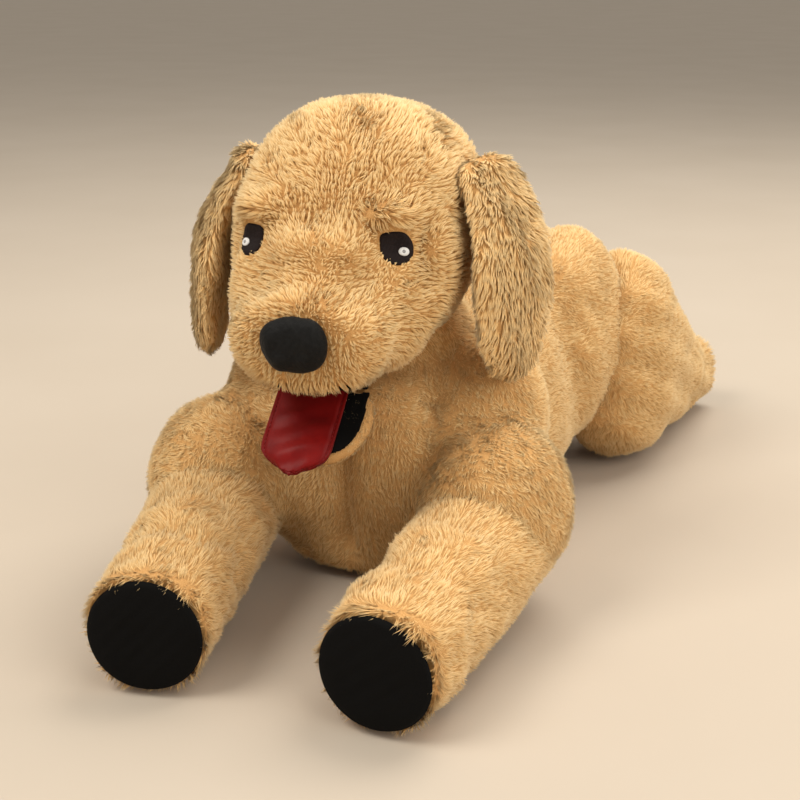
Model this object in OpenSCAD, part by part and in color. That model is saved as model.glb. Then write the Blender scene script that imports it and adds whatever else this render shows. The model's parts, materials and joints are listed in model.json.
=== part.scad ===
// Large plush retriever lying on its belly, forelegs stretched out in front and
// hind legs stretched out behind. Millimetres, +Z up, the dog looks along -Y.
// The origin lies on the floor under the middle of the dog's length.

/* [Torso] */
// Widest half width of the trunk, at the shoulders
torso_half_width = 126; // [112:1:150]
// Height of the back above the floor
back_height = 270; // [250:1:310]
// Distance from the origin forward to the front of the chest
chest_reach = 228; // [210:1:240]
// Distance from the origin back to the end of the rump
rump_reach = 322; // [300:1:350]
// Thickness of plush skin, backing and pile together
skin = 6; // [4:0.5:7]
// Thickness of the belly panel that the dog lies on
belly_panel_thickness = 6; // [3:0.5:10]

/* [Head] */
// Height of the neck seam above the floor
neck_height = 243; // [232:1:260]
// Distance from the origin forward to the axis of the neck
neck_forward = 140; // [130:1:150]
// Outer radius of the neck seam ring
neck_radius = 44; // [30:1:52]
// Widest half width of the skull
skull_half_width = 104; // [90:1:124]
// Height of the crown above the neck seam
crown_height = 192; // [165:1:230]
// Length of the muzzle in front of the brow
muzzle_length = 78; // [65:1:94]
// Half width of the muzzle
muzzle_half_width = 69; // [60:1:76]
// Half width of the nose
nose_half_width = 27; // [22:1:33]
// Turn of the whole head to the dog's left, degrees
head_turn = 4; // [0:1:10]
// Shift of the neck to the dog's right
neck_shift = 28; // [20:1:34]

/* [Eyes] */
// Diameter of an embroidered eye
eye_diameter = 29; // [24:1:35]
// Diameter of the white glint stitched on an eye
glint_diameter = 7; // [4:0.5:9]

/* [Mouth] */
// Length of the lower jaw from its hinge seam to its tip
jaw_length = 76; // [68:1:86]
// Half width of the lower jaw
jaw_half_width = 43; // [35:1:48]
// Droop of the lower jaw below level, degrees
jaw_droop = 42; // [38:1:46]
// Width of the satin tongue
tongue_width = 62; // [50:1:72]
// Length of the satin tongue
tongue_length = 84; // [70:1:96]
// Thickness of one layer of the tongue
satin = 1.6; // [1:0.1:2.5]

/* [Ears] */
// Length of an ear from its root to its tip
ear_length = 172; // [150:1:184]
// Widest half width of an ear
ear_half_width = 46; // [38:1:55]
// Height of the ear roots below the crown
ear_root_drop = 58; // [48:1:68]

/* [Legs] */
// Radius of the forepaw at its sole
forepaw_radius = 51; // [42:1:58]
// Radius of the foreleg where it joins the shoulder
shoulder_radius = 60; // [54:1:66]
// Distance from the shoulder seam to the sole of the forepaw
foreleg_length = 236; // [200:1:280]
// Sideways distance from the middle to a shoulder seam
shoulder_offset = 128; // [120:1:136]
// Radius of the haunch about the hip
haunch_radius = 94; // [86:1:104]
// Distance from the origin back to the hip
hip_back = 214; // [204:1:230]
// Distance from the hip to the sole of the hind foot
hind_leg_length = 226; // [210:1:270]
// Radius of the hind foot at its sole
hind_foot_radius = 46; // [40:1:54]
// Radius of the black sole pads of the forepaws
pad_radius = 46; // [36:1:50]
// Radius of the sole pads of the hind feet
hind_pad_radius = 37; // [30:1:40]
// Thickness of a sole pad
pad_thickness = 4; // [2:0.5:7]

/* [Tail] */
// Length of the tail
tail_length = 118; // [90:1:124]
// Radius of the tail at its root
tail_radius = 24; // [18:1:30]

/* [Fits] */
// Gap between soft pieces that move against each other
gap = 0.5; // [0.4:0.1:1.5]

/* [Hidden] */
LEFT = 1;
RIGHT = -1;
SEGMENTS = 20;          // points round a ring
TOP = SEGMENTS / 4;     // the ring's index at its highest point
BOTTOM = 3 * SEGMENTS / 4;
STEPS = 2;              // rings between two stations
FULLNESS = 2.25;        // exponent of the ring's outline, 2 is an ellipse
SMALLEST = 0.3;         // inner rings near a pole keep this share of the outer one
FAR = 1000;             // a limit that never cuts

TAN = "#c99d64";
TAN_DARK = "#b5854c";
BLACK = "#17171a";
RED = "#c01326";
BROWN = "#2a1712";
WHITE = "#f4f4f0";
FIBRE = "#efeee8";

// ---------------------------------------------------------------- lofted forms
// A form is a list of stations along a level axis t. Each station is
// [t, side, height, half_width, rise, fall, floor, roof, inner_side]:
// the ring's middle, its reach to each side, up and down, and the planes that cut it flat.

function lerp(a, b, f) = a + (b - a) * f;

function spline(a, b, c, d, f) =
    0.5 * (2 * b + (c - a) * f + (2 * a - 5 * b + 4 * c - d) * f * f
    + (3 * b - a - 3 * c + d) * f * f * f);

function rounded(stations) = [
    for (i = [0 : len(stations) - 2], k = [0 : STEPS - 1])
        let (
            a = stations[max(i - 1, 0)],
            b = stations[i],
            c = stations[i + 1],
            d = stations[min(i + 2, len(stations) - 1)],
            f = k / STEPS
        )
        [for (n = [0 : 8]) n == 0 || n > 5 ? lerp(b[n], c[n], f) : spline(a[n], b[n], c[n], d[n], f)],
    stations[len(stations) - 1]
];

function power(value, exponent) = sign(value) * pow(abs(value), exponent);

function ring(s, wall, ends) = [
    for (j = [0 : SEGMENTS - 1])
        let (
            angle = 360 * j / SEGMENTS,
            u = power(cos(angle), 2 / FULLNESS),
            v = power(sin(angle), 2 / FULLNESS),
            across = max(s[3] - wall, s[3] * SMALLEST),
            along = v > 0 ? s[4] : s[5],
            tall = max(along - wall, along * SMALLEST)
        )
        [
            max(s[1] + across * u, s[8] + wall),
            min(max(s[2] + tall * v, s[6] + wall), s[7] - wall),
            min(max(s[0], ends[0] + wall), ends[1] - wall)
        ]
];

// The grid of ring points; the first and the last ring are closed to one point each.
function grid(stations, wall) =
    let (
        s = rounded(stations),
        n = len(s),
        ends = [s[0][0], s[n - 1][0]]
    )
    [for (i = [0 : n - 1])
        let (r = ring(s[i], wall, ends))
        i == 0 || i == n - 1
            ? let (middle = pole(s[i], wall, ends)) [for (p = r) middle]
            : r
    ];

function pole(s, wall, ends) =
    [s[1], s[2], min(max(s[0], ends[0] + wall), ends[1] - wall)];

// A closed solid form.
module form(stations, wall = 0) {
    g = grid(stations, wall);
    n = len(g);
    points = concat([g[0][0]], [for (i = [1 : n - 2]) each g[i]], [g[n - 1][0]]);
    last = len(points) - 1;
    function at(i, j) = 1 + (i - 1) * SEGMENTS + j % SEGMENTS;
    faces = concat(
        [for (j = [0 : SEGMENTS - 1]) [0, at(1, j), at(1, j + 1)]],
        [for (i = [1 : n - 3], j = [0 : SEGMENTS - 1])
            each [[at(i, j), at(i + 1, j), at(i + 1, j + 1)], [at(i, j), at(i + 1, j + 1), at(i, j + 1)]]],
        [for (j = [0 : SEGMENTS - 1]) [last, at(n - 2, j + 1), at(n - 2, j)]]
    );
    polyhedron(points, faces);
}

// A piece of the form's skin, from ring i0 to i1 and from point j0 to j1, with its own thickness.
module panel(stations, wall, i0, i1, j0, j1) {
    outer = grid(stations, 0);
    inner = grid(stations, wall);
    last = len(outer) - 1;
    wrap = j1 - j0 == SEGMENTS;
    columns = wrap ? SEGMENTS : j1 - j0 + 1;
    rows = i1 - i0 + 1;
    function patch(g) = [for (i = [i0 : i1], j = [0 : columns - 1]) g[i][(j0 + j) % SEGMENTS]];
    points = concat(patch(outer), patch(inner));
    half = rows * columns;
    function is_pole(i) = i == 0 || i == last;
    function at(i, j) = (i - i0) * columns + (is_pole(i) ? 0 : j % columns);
    function skin_faces(base, out) = [
        for (i = [i0 : i1 - 1], j = [0 : (wrap ? columns : columns - 1) - 1])
            let (
                a = base + at(i, j),
                b = base + at(i, j + 1),
                c = base + at(i + 1, j + 1),
                d = base + at(i + 1, j)
            )
            each [
                if (!is_pole(i + 1)) out ? [a, d, c] : [a, c, d],
                if (!is_pole(i)) out ? [a, c, b] : [a, b, c]
            ]
    ];
    function side_faces(j, out) = [
        for (i = [i0 : i1 - 1])
            let (a = at(i, j), b = at(i + 1, j), c = half + b, d = half + a)
            each (out ? [[a, c, b], [a, d, c]] : [[a, b, c], [a, c, d]])
    ];
    function rim_faces(i, out) = is_pole(i) ? [] : [
        for (j = [0 : (wrap ? columns : columns - 1) - 1])
            let (a = at(i, j), b = at(i, j + 1), c = half + b, d = half + a)
            each (out ? [[a, c, b], [a, d, c]] : [[a, b, c], [a, c, d]])
    ];
    polyhedron(points, concat(
        skin_faces(0, true),
        skin_faces(half, false),
        wrap ? [] : side_faces(0, true),
        wrap ? [] : side_faces(columns - 1, false),
        rim_faces(i0, false),
        rim_faces(i1, true)
    ));
}

// ---------------------------------------------------------------- places
neck = [-neck_shift, -neck_forward, neck_height];
head_shift = 10;        // the skull leans this far to the dog's right of the neck
skull_shift = 6;         // and its round part leans back a little the other way
head_floor = neck_height + gap;
crown = neck_height + crown_height;
skull_middle = neck_height + 86;
brow_reach = 122;       // from the neck's axis forward to the brow
muzzle_end = brow_reach + 0.78 * muzzle_length;
palate = neck_height - 31;
muzzle_middle = palate + 48;

chest_shift = 28;       // the chest sits to the dog's right of the hips
shoulder_shift = 22;
shoulder_forward = 205;
right_lead = 14;        // the right foreleg lies this much further forward
shoulder_height = 76;
socket_radius = shoulder_radius + 4.5;

hip_plane = 78;         // the haunches start this far from the middle
sole_offset = 93;       // the forepaws' soles are this far from their own middle
sole_shift = 5;

jaw_hinge = [0, palate - 12, 98];
jaw_thickness = 19;
lining = 1.5;
tongue_root = [-14, lining + 0.6, 8];
ear_root = [skull_half_width + 5, crown - ear_root_drop, 24];
ear_yaw = 20;           // the ears' front edges lie in against the head
ear_roll = 11;          // radius of the rolled root of an ear
tail_height = 128;

// A station with no flat cuts.
function station(t, side, height, half_width, rise, fall) =
    [t, side, height, half_width, rise, fall, -FAR, FAR, -FAR];

// The same station cut flat at a floor and a roof.
function cut(s, low = -FAR, high = FAR, inside = -FAR) =
    [s[0], s[1], s[2], s[3], s[4], s[5], low, high, inside];

// ---------------------------------------------------------------- torso
belly = belly_panel_thickness;
waist = 106;            // height of the widest part of the trunk
torso_roof = neck_height - 1;

shoulder_width = torso_half_width - 4;
torso_stations = [
    cut(station(-rump_reach, 0, 120, 1, 1, 1), belly),
    cut(station(-rump_reach + 7, 0, 116, 34, 60, 44), belly),
    cut(station(-rump_reach + 26, 0, 110, 58, back_height - 148, 82), belly),
    cut(station(-rump_reach + 62, 0, waist, hip_plane - 4, back_height - 118, 112), belly),
    cut(station(-200, 0, waist, hip_plane, back_height - waist - 4, 125), belly),
    cut(station(-106, 0, waist, hip_plane, back_height - waist, 125), belly),
    cut(station(-86, -2, waist, torso_half_width - 18, back_height - waist, 125), belly),
    cut(station(-50, -6, waist, torso_half_width - 8, back_height - waist, 125), belly),
    cut(station(10, -12, waist, shoulder_width, back_height - waist, 125), belly, torso_roof),
    cut(station(80, -22, waist, torso_half_width, back_height - waist, 125), belly, torso_roof),
    each [for (s = [
        station(chest_reach - 90, -chest_shift, waist, shoulder_width, back_height - waist, 125),
        station(chest_reach - 50, -chest_shift, waist - 2, shoulder_width - 12, 122, 122),
        station(chest_reach - 22, -chest_shift, waist - 6, shoulder_width - 34, 78, 104),
        station(chest_reach - 7, -chest_shift, waist - 10, 42, 38, 60),
        station(chest_reach, -chest_shift, waist - 10, 1, 1, 1)
    ]) cut(s, belly, torso_roof)]
];
torso_rings = STEPS * (len(torso_stations) - 1);

function shoulder(side) =
    [side * shoulder_offset - shoulder_shift,
     -shoulder_forward - (side == RIGHT ? right_lead : 0), shoulder_height];

module lying() rotate([90, 0, 0]) children();

// The round hollows that the shoulders of the forelegs turn in.
module clear_of_shoulders()
    difference() {
        children();
        for (side = [LEFT, RIGHT])
            translate(shoulder(side)) sphere(r = socket_radius);
    }

module torso_half(first)
    color(TAN) clear_of_shoulders()
        lying() panel(torso_stations, skin, 0, torso_rings, first, first + SEGMENTS / 2);

module torso_left() torso_half(BOTTOM);

module torso_right() torso_half(TOP);

module torso_stuffing()
    color(FIBRE) clear_of_shoulders() lying() form(torso_stations, skin);

module belly_panel() {
    front = chest_reach - 50;
    back = rump_reach - 70;
    outline = [for (j = [0 : 47]) let (angle = 7.5 * j)
        [62 * power(cos(angle), 0.8) - 6,
         (front + back) / 2 * power(sin(angle), 0.8) + (back - front) / 2]];
    color(TAN) linear_extrude(belly_panel_thickness) polygon(outline);
}

module neck_seam()
    color(TAN_DARK) translate([neck.x, neck.y, torso_roof]) rotate_extrude()
        translate([neck_radius - 10, 0]) square([10, neck_height - torso_roof]);

// ---------------------------------------------------------------- head
// In the head's own frame u is the dog's left, v is up and t is forward.
module in_head()
    translate([neck.x, neck.y, 0]) rotate([0, 0, head_turn])
        translate([-head_shift, 0, 0]) lying() children();

skull_rise = crown - skull_middle;
cheek = 0.88 * skull_half_width;
head_stations = [
    cut(station(-92, skull_shift, skull_middle, 1, 1, 1), head_floor),
    cut(station(-84, skull_shift, skull_middle, 0.4 * skull_half_width, 44, 44), head_floor),
    cut(station(-58, skull_shift, skull_middle, 0.75 * skull_half_width, 0.76 * skull_rise, 78), head_floor),
    cut(station(-14, skull_shift, skull_middle, 0.97 * skull_half_width, 0.96 * skull_rise, 96), head_floor),
    cut(station(36, skull_shift, skull_middle - 8, skull_half_width, skull_rise + 8, 100), head_floor),
    cut(station(82, skull_shift, skull_middle - 24, 0.95 * skull_half_width, 0.92 * skull_rise + 20, 88),
        head_floor),
    cut(station(104, 0.5 * skull_shift, skull_middle - 38, cheek, 0.74 * skull_rise + 26, 76), palate + 6),
    cut(station(brow_reach, 0, skull_middle - 46, 0.5 * (cheek + muzzle_half_width),
        0.46 * skull_rise + 18, 74), palate + 6),
    cut(station(brow_reach + 16, 0, muzzle_middle, muzzle_half_width, 44, 56), palate),
    cut(station(brow_reach + 0.5 * muzzle_length, 0, muzzle_middle - 2, muzzle_half_width, 36, 50), palate),
    cut(station(muzzle_end - 8, 0, muzzle_middle - 2, muzzle_half_width - 11, 33, 44), palate + 2),
    cut(station(muzzle_end, 0, muzzle_middle - 2, muzzle_half_width - 24, 27, 33), palate + 6),
    cut(station(muzzle_end, 0, muzzle_middle - 2, 1, 1, 1), palate + 6)
];
brow_ring = 7 * STEPS;
head_rings = STEPS * (len(head_stations) - 1);

module head_half(first)
    color(TAN) in_head() panel(head_stations, skin, 0, brow_ring, first, first + SEGMENTS / 2);

module head_left() head_half(BOTTOM);

module head_right() head_half(TOP);

module muzzle()
    color(TAN) in_head() panel(head_stations, skin, brow_ring, head_rings, 0, SEGMENTS);

module head_stuffing() color(FIBRE) in_head() form(head_stations, skin);

nose_stations = [
    station(muzzle_end, 0, muzzle_middle, 1, 1, 1),
    station(muzzle_end, 0, muzzle_middle, nose_half_width, 19, 25),
    station(muzzle_end + 7, 0, muzzle_middle, nose_half_width, 19, 25),
    station(muzzle_end + 14, 0, muzzle_middle, 0.6 * nose_half_width, 11, 15),
    station(muzzle_end + 16, 0, muzzle_middle, 1, 1, 1)
];

module nose() color(BLACK) in_head() form(nose_stations);

// ---------------------------------------------------------------- eyes
eye_ring = brow_ring;
eye_point = 2.08;       // places up from the ring's widest point

function between(g, i, j) = lerp(g[i][floor(j)], g[i][ceil(j)], j - floor(j));

eye_place = let (g = grid(head_stations, 0)) between(g, eye_ring, eye_point);
eye_normal =
    let (
        g = grid(head_stations, 0),
        along = between(g, eye_ring + 1, eye_point) - between(g, eye_ring - 1, eye_point),
        around = g[eye_ring][ceil(eye_point) + 1] - g[eye_ring][floor(eye_point) - 1],
        n = cross(around, along)
    )
    n / norm(n);

module on_eye(side)
    mirror([side == RIGHT ? 1 : 0, 0, 0]) translate(eye_place)
        rotate([0, acos(eye_normal.z), atan2(eye_normal.y, eye_normal.x)]) children();

module eye(side)
    color(BROWN) in_head() difference() {
        on_eye(side) translate([0, 0, -6]) cylinder(h = 7.5, d = eye_diameter);
        form(head_stations);
    }

module glint(side)
    color(WHITE) in_head() on_eye(side)
        translate([-0.12 * eye_diameter, side * 0.1 * eye_diameter, 1.5])
            cylinder(h = 0.6, d = glint_diameter);

module eye_left() eye(LEFT);

module eye_right() eye(RIGHT);

module glint_left() glint(LEFT);

module glint_right() glint(RIGHT);

// ---------------------------------------------------------------- mouth
// The black bag of the mouth: the palate under the muzzle and the throat behind the jaw.
module mouth_lining() {
    half = jaw_half_width - 5;
    back = jaw_hinge.z - 18;
    front = muzzle_end - 22;
    color(BLACK) in_head() {
        translate([-half, palate - 4, back]) cube([2 * half, 4, front - back]);
        translate([-half, jaw_hinge.y - 12, back]) cube([2 * half, palate - jaw_hinge.y, 5]);
    }
}

module in_jaw() in_head() translate(jaw_hinge) rotate([jaw_droop, 0, 0]) children();

jaw_stations = [
    cut(station(0, 0, -9, 1, 1, 1), -FAR, 0),
    cut(station(3, 0, -9, 0.7 * jaw_half_width, 8, 7), -FAR, 0),
    cut(station(14, 0, -9, 0.96 * jaw_half_width, 14, jaw_thickness - 9), -FAR, 0),
    cut(station(0.5 * jaw_length, 0, -9, jaw_half_width, 14, jaw_thickness - 9), -FAR, 0),
    cut(station(0.8 * jaw_length, 0, -9, 0.78 * jaw_half_width, 13, 9), -FAR, 0),
    cut(station(0.95 * jaw_length, 0, -9, 0.42 * jaw_half_width, 8, 7), -FAR, 0),
    cut(station(jaw_length, 0, -9, 1, 1, 1), -FAR, 0)
];

module jaw() color(TAN) in_jaw() form(jaw_stations);

// A flat tongue-shaped outline that starts square at y = 0 and ends round at y = length.
module lobe(width, length) {
    tip = 0.5 * width;
    translate([-tip, 0]) square([width, length - tip]);
    translate([0, length - tip]) circle(r = tip);
}

module jaw_lining()
    color(BLACK) in_jaw() translate([0, lining, 6]) rotate([90, 0, 0])
        linear_extrude(lining) lobe(1.7 * jaw_half_width, jaw_length - 10);

module tongue_layer(level)
    color(RED) in_jaw() translate(tongue_root) translate([0, level + satin, 0]) rotate([90, 0, 0])
        linear_extrude(satin) lobe(tongue_width, tongue_length);

module tongue_under() tongue_layer(0);

module tongue_upper() tongue_layer(satin);

// ---------------------------------------------------------------- ears
// In an ear's own frame t runs down the ear from its root and the rise is its outer side.
ear_stations = [
    station(-10, 0, 2, 1, 1, 1),
    station(-7, 0, 2, 0.5 * ear_half_width, 6, 6),
    station(0, 0, 0, 0.75 * ear_half_width, ear_roll, ear_roll),
    station(24, -3, 15, 0.92 * ear_half_width, 13, 10),
    station(0.34 * ear_length, -6, 30, 1.04 * ear_half_width, 15, 12),
    station(0.6 * ear_length, -10, 36, 1.04 * ear_half_width, 15, 12),
    station(0.8 * ear_length, -13, 39, 0.9 * ear_half_width, 13, 11),
    station(0.94 * ear_length, -15, 40, 0.58 * ear_half_width, 9, 8),
    station(ear_length, -15, 42, 1, 1, 1)
];
ear_rings = STEPS * (len(ear_stations) - 1);

module in_ear(side)
    in_head() translate([skull_shift, 0, 0]) mirror([side == RIGHT ? 1 : 0, 0, 0]) translate(ear_root)
        rotate([0, -ear_yaw, 0]) rotate([0, 90, -90]) children();

module ear_outer(side)
    color(TAN) in_ear(side) panel(ear_stations, skin, 0, ear_rings, 0, SEGMENTS / 2);

module ear_inner(side)
    color(TAN_DARK) in_ear(side) panel(ear_stations, skin, 0, ear_rings, SEGMENTS / 2, SEGMENTS);

module ear_batting(side) color(FIBRE) in_ear(side) form(ear_stations, skin);

module ear_left() ear_outer(LEFT);

module ear_left_lining() ear_inner(LEFT);

module ear_left_batting() ear_batting(LEFT);

module ear_right() ear_outer(RIGHT);

module ear_right_lining() ear_inner(RIGHT);

module ear_right_batting() ear_batting(RIGHT);

// ---------------------------------------------------------------- forelegs
// A leg's frame has its origin under the joint; t runs along the leg towards the sole.

// The stations of a dome that ends in a full ring at t = 0.
function dome(radius, height, half_width, rise, side = 0, inside = -FAR) = [
    for (f = [-1, -0.94, -0.76, -0.42, 0])
        let (r = max(sqrt(1 - f * f), 1 / radius))
        cut(station(f * radius, side, height, r * half_width, r * rise, r * radius), 0, FAR, inside)
];

sole_height = forepaw_radius;
foreleg_stations = concat(
    dome(shoulder_radius, shoulder_height, shoulder_radius, shoulder_radius),
    [for (s = [
        station(0.28 * foreleg_length, 0, shoulder_height - 8, shoulder_radius - 3,
            shoulder_radius - 2, shoulder_height - 12),
        station(0.6 * foreleg_length, 0, sole_height + 9, shoulder_radius - 7,
            shoulder_radius - 6, sole_height + 9),
        station(0.85 * foreleg_length, 0, sole_height + 3, forepaw_radius + 1, forepaw_radius + 1,
            sole_height + 3),
        station(foreleg_length - 8, 0, sole_height, forepaw_radius, forepaw_radius, forepaw_radius),
        station(foreleg_length, 0, sole_height, forepaw_radius - 3, forepaw_radius - 3, forepaw_radius - 2),
        station(foreleg_length, 0, sole_height, 1, 1, 1)
    ]) cut(s, 0)]
);
foreleg_rings = STEPS * (len(foreleg_stations) - 1);

function foreleg_yaw(side) = 
    asin((side * sole_offset - sole_shift - shoulder(side).x) / foreleg_length);

module in_foreleg(side)
    translate([shoulder(side).x, shoulder(side).y, 0]) rotate([0, 0, foreleg_yaw(side)]) lying() children();

// The skin is a sleeve that ends at the sole, where the pad closes it.
module foreleg(side)
    color(TAN) in_foreleg(side)
        panel(foreleg_stations, skin, 0, foreleg_rings - STEPS, 0, SEGMENTS);

module foreleg_stuffing(side)
    color(FIBRE) in_foreleg(side) form(foreleg_stations, skin);

module foreleg_pad(side)
    color(BLACK) in_foreleg(side) translate([0, sole_height, foreleg_length])
        cylinder(h = pad_thickness, r = pad_radius);

module foreleg_left() foreleg(LEFT);

module foreleg_left_stuffing() foreleg_stuffing(LEFT);

module foreleg_left_pad() foreleg_pad(LEFT);

module foreleg_right() foreleg(RIGHT);

module foreleg_right_stuffing() foreleg_stuffing(RIGHT);

module foreleg_right_pad() foreleg_pad(RIGHT);

// ---------------------------------------------------------------- hind legs
hip_gap = hip_plane + gap;
haunch_side = 120;      // middle of the haunch, sideways from the middle of the dog
foot_side = 154;        // middle of the hind foot
haunch_half_width = 68;
haunch_rise = haunch_radius + 54;
hind_stations = concat(
    dome(haunch_radius, haunch_radius, haunch_half_width, haunch_rise, haunch_side, hip_gap),
    [
        cut(station(0.24 * hind_leg_length, 130, haunch_radius - 8, haunch_half_width - 8,
            haunch_radius + 32, haunch_radius - 8), 0, FAR, hip_gap),
        cut(station(0.52 * hind_leg_length, 141, 0.5 * (haunch_radius + hind_foot_radius), 53,
            84, 0.5 * (haunch_radius + hind_foot_radius)), 0, FAR, hip_gap),
        cut(station(0.78 * hind_leg_length, 149, hind_foot_radius + 6, hind_foot_radius + 2,
            hind_foot_radius + 3, hind_foot_radius + 6), 0, FAR, hip_gap),
        cut(station(hind_leg_length - 8, foot_side, hind_foot_radius, hind_foot_radius,
            hind_foot_radius, hind_foot_radius), 0, FAR, hip_gap),
        cut(station(hind_leg_length, foot_side, hind_foot_radius, hind_foot_radius - 3,
            hind_foot_radius - 3, hind_foot_radius - 2), 0, FAR, hip_gap),
        cut(station(hind_leg_length, foot_side, hind_foot_radius, 1, 1, 1), 0, FAR, hip_gap)
    ]
);
hind_rings = STEPS * (len(hind_stations) - 1);

module in_hind_leg(side)
    mirror([side == LEFT ? 1 : 0, 0, 0]) translate([0, hip_back, 0]) rotate([0, 0, 180]) lying() children();

module hind_leg(side)
    color(TAN) in_hind_leg(side) panel(hind_stations, skin, 0, hind_rings - STEPS, 0, SEGMENTS);

module hind_leg_stuffing(side)
    color(FIBRE) in_hind_leg(side) form(hind_stations, skin);

module hind_leg_pad(side)
    color(BLACK) in_hind_leg(side) translate([foot_side, hind_foot_radius, hind_leg_length])
        cylinder(h = pad_thickness, r = hind_pad_radius);

module hind_leg_left() hind_leg(LEFT);

module hind_leg_left_stuffing() hind_leg_stuffing(LEFT);

module hind_leg_left_pad() hind_leg_pad(LEFT);

module hind_leg_right() hind_leg(RIGHT);

module hind_leg_right_stuffing() hind_leg_stuffing(RIGHT);

module hind_leg_right_pad() hind_leg_pad(RIGHT);

// ---------------------------------------------------------------- tail
tail_tip = tail_length - tail_radius;
tail_stations = concat(
    dome(tail_radius, tail_height, tail_radius, tail_radius),
    [
        station(0.45 * tail_tip, 0, tail_height - 12, tail_radius - 1, tail_radius - 1, tail_radius - 1),
        station(0.8 * tail_tip, 0, tail_height - 32, tail_radius - 5, tail_radius - 5, tail_radius - 5),
        station(0.92 * tail_tip, 0, tail_height - 43, tail_radius - 11, tail_radius - 11, tail_radius - 11),
        station(tail_tip, 0, tail_height - 45, 1, 1, 1)
    ]
);
tail_rings = STEPS * (len(tail_stations) - 1);

module in_tail()
    translate([0, rump_reach + tail_radius + gap, 0]) rotate([0, 0, 180]) lying() children();

module tail() color(TAN) in_tail() panel(tail_stations, skin, 0, tail_rings - STEPS, 0, SEGMENTS);

module tail_stuffing() color(FIBRE) in_tail() form(tail_stations, skin);

// ---------------------------------------------------------------- the dog
torso_left();
torso_right();
torso_stuffing();
belly_panel();
neck_seam();
head_left();
head_right();
head_stuffing();
muzzle();
nose();
eye_left();
eye_right();
glint_left();
glint_right();
mouth_lining();
jaw();
jaw_lining();
tongue_upper();
tongue_under();
ear_left();
ear_left_lining();
ear_left_batting();
ear_right();
ear_right_lining();
ear_right_batting();
foreleg_left();
foreleg_left_stuffing();
foreleg_left_pad();
foreleg_right();
foreleg_right_stuffing();
foreleg_right_pad();
hind_leg_left();
hind_leg_left_stuffing();
hind_leg_left_pad();
hind_leg_right();
hind_leg_right_stuffing();
hind_leg_right_pad();
tail();
tail_stuffing();
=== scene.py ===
"""Looks of the plush dog: stuffed skins covered with real pile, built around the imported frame."""
import json
import math

import bmesh
import bpy
import numpy as np
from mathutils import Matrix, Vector
from mathutils.bvhtree import BVHTree


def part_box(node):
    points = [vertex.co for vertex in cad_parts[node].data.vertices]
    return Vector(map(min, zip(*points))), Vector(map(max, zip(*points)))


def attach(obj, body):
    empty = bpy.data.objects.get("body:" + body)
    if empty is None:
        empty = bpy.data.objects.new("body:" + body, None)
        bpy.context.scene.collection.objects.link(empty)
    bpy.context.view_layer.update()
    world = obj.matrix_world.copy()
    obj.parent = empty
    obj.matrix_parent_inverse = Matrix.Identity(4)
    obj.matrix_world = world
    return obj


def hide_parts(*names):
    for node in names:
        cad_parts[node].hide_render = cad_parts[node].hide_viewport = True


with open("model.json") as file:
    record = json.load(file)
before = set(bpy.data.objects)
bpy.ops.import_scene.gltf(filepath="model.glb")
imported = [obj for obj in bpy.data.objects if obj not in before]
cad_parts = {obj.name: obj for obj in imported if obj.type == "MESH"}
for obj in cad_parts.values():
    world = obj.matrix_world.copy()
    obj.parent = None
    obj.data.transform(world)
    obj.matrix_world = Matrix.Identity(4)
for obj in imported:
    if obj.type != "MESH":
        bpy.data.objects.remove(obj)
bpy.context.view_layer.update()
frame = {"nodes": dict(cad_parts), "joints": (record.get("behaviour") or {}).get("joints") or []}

UP = np.array([0.0, 0.0, 1.0])
SIDES = {"left": 1, "right": -1}


# ---------------------------------------------------------------- places, read from the frame
def joint_place(name):
    joint = next(j for j in frame["joints"] if j["name"] == name)
    return np.array(joint["pos_m"], float)


def joint_axis(name):
    joint = next(j for j in frame["joints"] if j["name"] == name)
    return np.array(joint["axis"], float)


def middle(node):
    """The middle of a CAD node's box."""
    low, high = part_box(node)
    return (np.array(low) + np.array(high)) / 2


def mesh_points(mesh):
    co = np.empty(len(mesh.vertices) * 3)
    mesh.vertices.foreach_get("co", co)
    return co.reshape(-1, 3)


def node_points(name):
    return mesh_points(frame["nodes"][name].data)


NECK = joint_place("neck_turn")
JAW = joint_place("jaw_flap")
HEAD_LEFT = joint_axis("jaw_flap")                      # the dog's left, as its head is turned
HEAD_FRONT = np.array([HEAD_LEFT[1], -HEAD_LEFT[0], 0.0])
HEAD_START = JAW - HEAD_FRONT * np.dot(JAW - NECK, HEAD_FRONT)
HEAD_START[2] = 0.0
NOSE = middle("nose")
EYES = {side: middle(f"eye_{side}") for side in SIDES}


def in_head(u, v, t):
    """The point this far left, up and forward in the head's own frame, in metres."""
    return HEAD_START + u * HEAD_LEFT + v * UP + t * HEAD_FRONT


def head_axes(points):
    """How far left, up and forward each point is in the head's own frame."""
    d = points - HEAD_START
    return d @ HEAD_LEFT, d[:, 2], d @ HEAD_FRONT


# ---------------------------------------------------------------- small tools
def smoothstep(a, b, x):
    """0 up to a and 1 from b on, or the other way round if a is the larger, with a soft ramp between."""
    f = np.clip((x - a) / (b - a), 0, 1)
    return f * f * (3 - 2 * f)


def unit(v):
    return v / np.maximum(np.linalg.norm(v, axis=-1, keepdims=True), 1e-9)


def bell(points, centre, radius):
    """1 at the centre and near 0 at twice the radius, which may differ along each axis."""
    d = (points - np.array(centre)) / np.array(radius)
    return np.exp(-(d * d).sum(1))


def along_line(points, start, end, radius):
    """1 on a line from start to end, falling off around it."""
    start, end = np.array(start), np.array(end)
    line = end - start
    f = np.clip((points - start) @ line / (line @ line), 0, 1)
    distance = np.linalg.norm(points - start - f[:, None] * line, axis=1)
    return np.exp(-(distance / radius) ** 2)


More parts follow.
